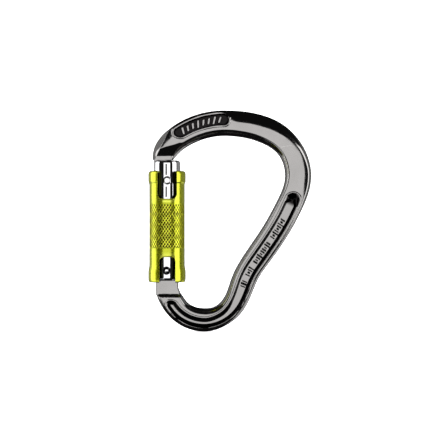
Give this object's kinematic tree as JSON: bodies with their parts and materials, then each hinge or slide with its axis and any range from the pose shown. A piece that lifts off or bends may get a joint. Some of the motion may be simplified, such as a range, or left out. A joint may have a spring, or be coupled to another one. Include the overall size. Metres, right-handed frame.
{
  "type": "locking carabiner",
  "caption": "Pear-shaped aluminium locking carabiner with a grooved forged body, round gate, spring-closed hinge and a knurled quarter-turn twist sleeve",
  "frame": {"origin": "middle of the bounding box in X and Y, lowest point of the small bow in Z", "axes": "+Z towards the large bow, +X from the gate to the spine, +Y through the opening towards the back"},
  "size_m": [0.0826, 0.018, 0.1122],
  "materials": {
    "body": "dark titanium-grey gloss anodised forging",
    "gate": "polished silver",
    "pins": "bright stainless steel",
    "springs": "drawn spring steel",
    "bushings": "black acetal",
    "sleeve": "lime-green anodised, satin, knurled waist"
  },
  "bodies": {
    "frame": {"frame_body": "body"},
    "gate": {"gate_barrel": "gate", "hinge_rivet": "pins", "latch_pin": "pins", "stop_pin": "pins", "lower_bushing": "bushings", "upper_bushing": "bushings", "torsion_spring": "springs", "return_spring": "springs"},
    "plunger_body": {"plunger": "pins"},
    "sleeve": {"lock_sleeve": "sleeve", "spring_collar": "bushings", "snap_ring": "springs"}
  },
  "joints": [
    {"name": "gate_open", "type": "hinge", "parent": "frame", "child": "gate", "pos_m": [-0.03183, 0, 0.0312], "axis": [0, 1, 0], "range_deg": [0, 20], "stiffness_Nm_per_rad": 0.15, "springref_deg": -20.05},
    {"name": "sleeve_twist", "type": "hinge", "parent": "gate", "child": "sleeve", "pos_m": [-0.03183, 0, 0.0312], "axis": [0, 0, 1], "range_deg": [0, 90], "stiffness_Nm_per_rad": 0.02, "springref_deg": -28.65, "deforming": ["torsion_spring"]},
    {"name": "plunger_slide", "type": "slide", "parent": "gate", "child": "plunger_body", "axis": [0, 0, 1], "range_m": [0, 0.0009], "deforming": ["return_spring"]}
  ],
  "couplings": [
    {"joint": "plunger_slide", "follows": "gate_open", "m_per_rad": 0.0022918}
  ]
}
